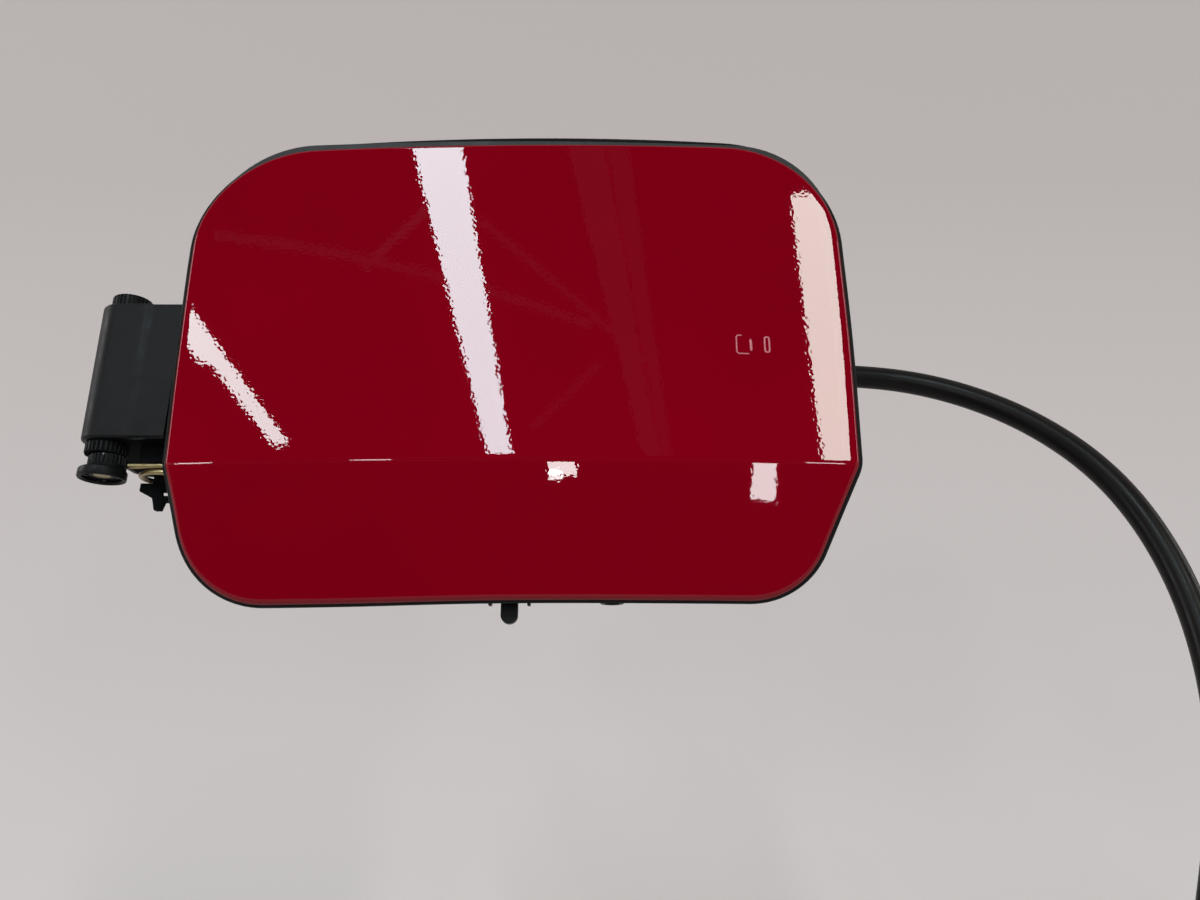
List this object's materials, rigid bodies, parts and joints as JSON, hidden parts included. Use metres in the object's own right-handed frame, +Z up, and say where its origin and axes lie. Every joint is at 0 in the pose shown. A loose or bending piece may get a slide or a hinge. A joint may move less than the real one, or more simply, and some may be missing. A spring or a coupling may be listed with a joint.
{
  "type": "fuel filler flap assembly",
  "caption": "Crowned, creased car fuel filler flap on a gooseneck hinge box, with its filler bowl, motor lock pin and a vent hose hanging from the bowl's side.",
  "frame": {"origin": "middle of the filler neck's opening and of its ring of screw holes, on the rear face of the bowl", "axes": "+X right and +Z up as one looks at the shut flap from outside the car, +Y into the car"},
  "size_m": [0.3316, 0.0668, 0.3546],
  "materials": {
    "red_paint": "dark crimson paint under a clear coat on pressed steel",
    "carrier_plastic": "moulded black carrier plastic",
    "seal_rubber": "matt black seal rubber",
    "arm_steel": "black coated pressed steel",
    "screw_steel": "zinc plated steel",
    "pin_brass": "yellow zinc or brass",
    "hinge_plastic": "satin black moulded plastic, ribs worn bright",
    "bowl_plastic": "satin black moulded plastic",
    "spring_steel": "yellow zinc plated spring wire",
    "lock_plastic": "black glass filled plastic",
    "motor_steel": "drawn steel motor can",
    "hose_rubber": "smooth satin black rubber hose"
  },
  "bodies": {
    "housing": {"bowl_floor": "bowl_plastic", "hinge_housing": "bowl_plastic", "bowl_lock_side": "bowl_plastic", "bowl_upper_wall": "bowl_plastic", "bowl_lower_wall": "bowl_plastic", "flange_seal": "seal_rubber", "neck_seal": "seal_rubber", "hinge_spring": "spring_steel", "lock_case": "lock_plastic", "lock_cover": "lock_plastic", "lock_gasket": "seal_rubber", "lock_screws": "screw_steel", "lock_motor": "motor_steel", "lock_terminals": "pin_brass", "hose_clamp": "screw_steel", "vent_hose": "hose_rubber"},
    "flap": {"outer_panel": "red_paint", "inner_panel": "carrier_plastic", "edge_seal": "seal_rubber", "hinge_arm": "arm_steel", "arm_screws": "screw_steel", "hinge_pin": "pin_brass", "upper_pin_cap": "hinge_plastic", "lower_pin_hub": "hinge_plastic", "latch_striker": "carrier_plastic", "bump_stops": "seal_rubber"},
    "pinion": {"lock_pinion": "pin_brass"},
    "pin": {"lock_pin": "screw_steel"}
  },
  "joints": [
    {"name": "flap_hinge", "type": "hinge", "parent": "housing", "child": "flap", "pos_m": [-0.127, -0.048, 0], "axis": [0, 0, -1], "range_deg": [0, 90], "stiffness_Nm_per_rad": 0.04, "deforming": ["hinge_spring"]},
    {"name": "lock_drive", "type": "hinge", "parent": "housing", "child": "pinion", "pos_m": [0.0972, -0.0298, 0.0021], "axis": [0, 0, -1], "range_deg": [0, 360]},
    {"name": "lock_slide", "type": "slide", "parent": "housing", "child": "pin", "axis": [-1, 0, 0], "range_m": [0, 0.0055]}
  ],
  "couplings": [
    {"joint": "lock_drive", "follows": "lock_slide", "rad_per_m": 250}
  ]
}
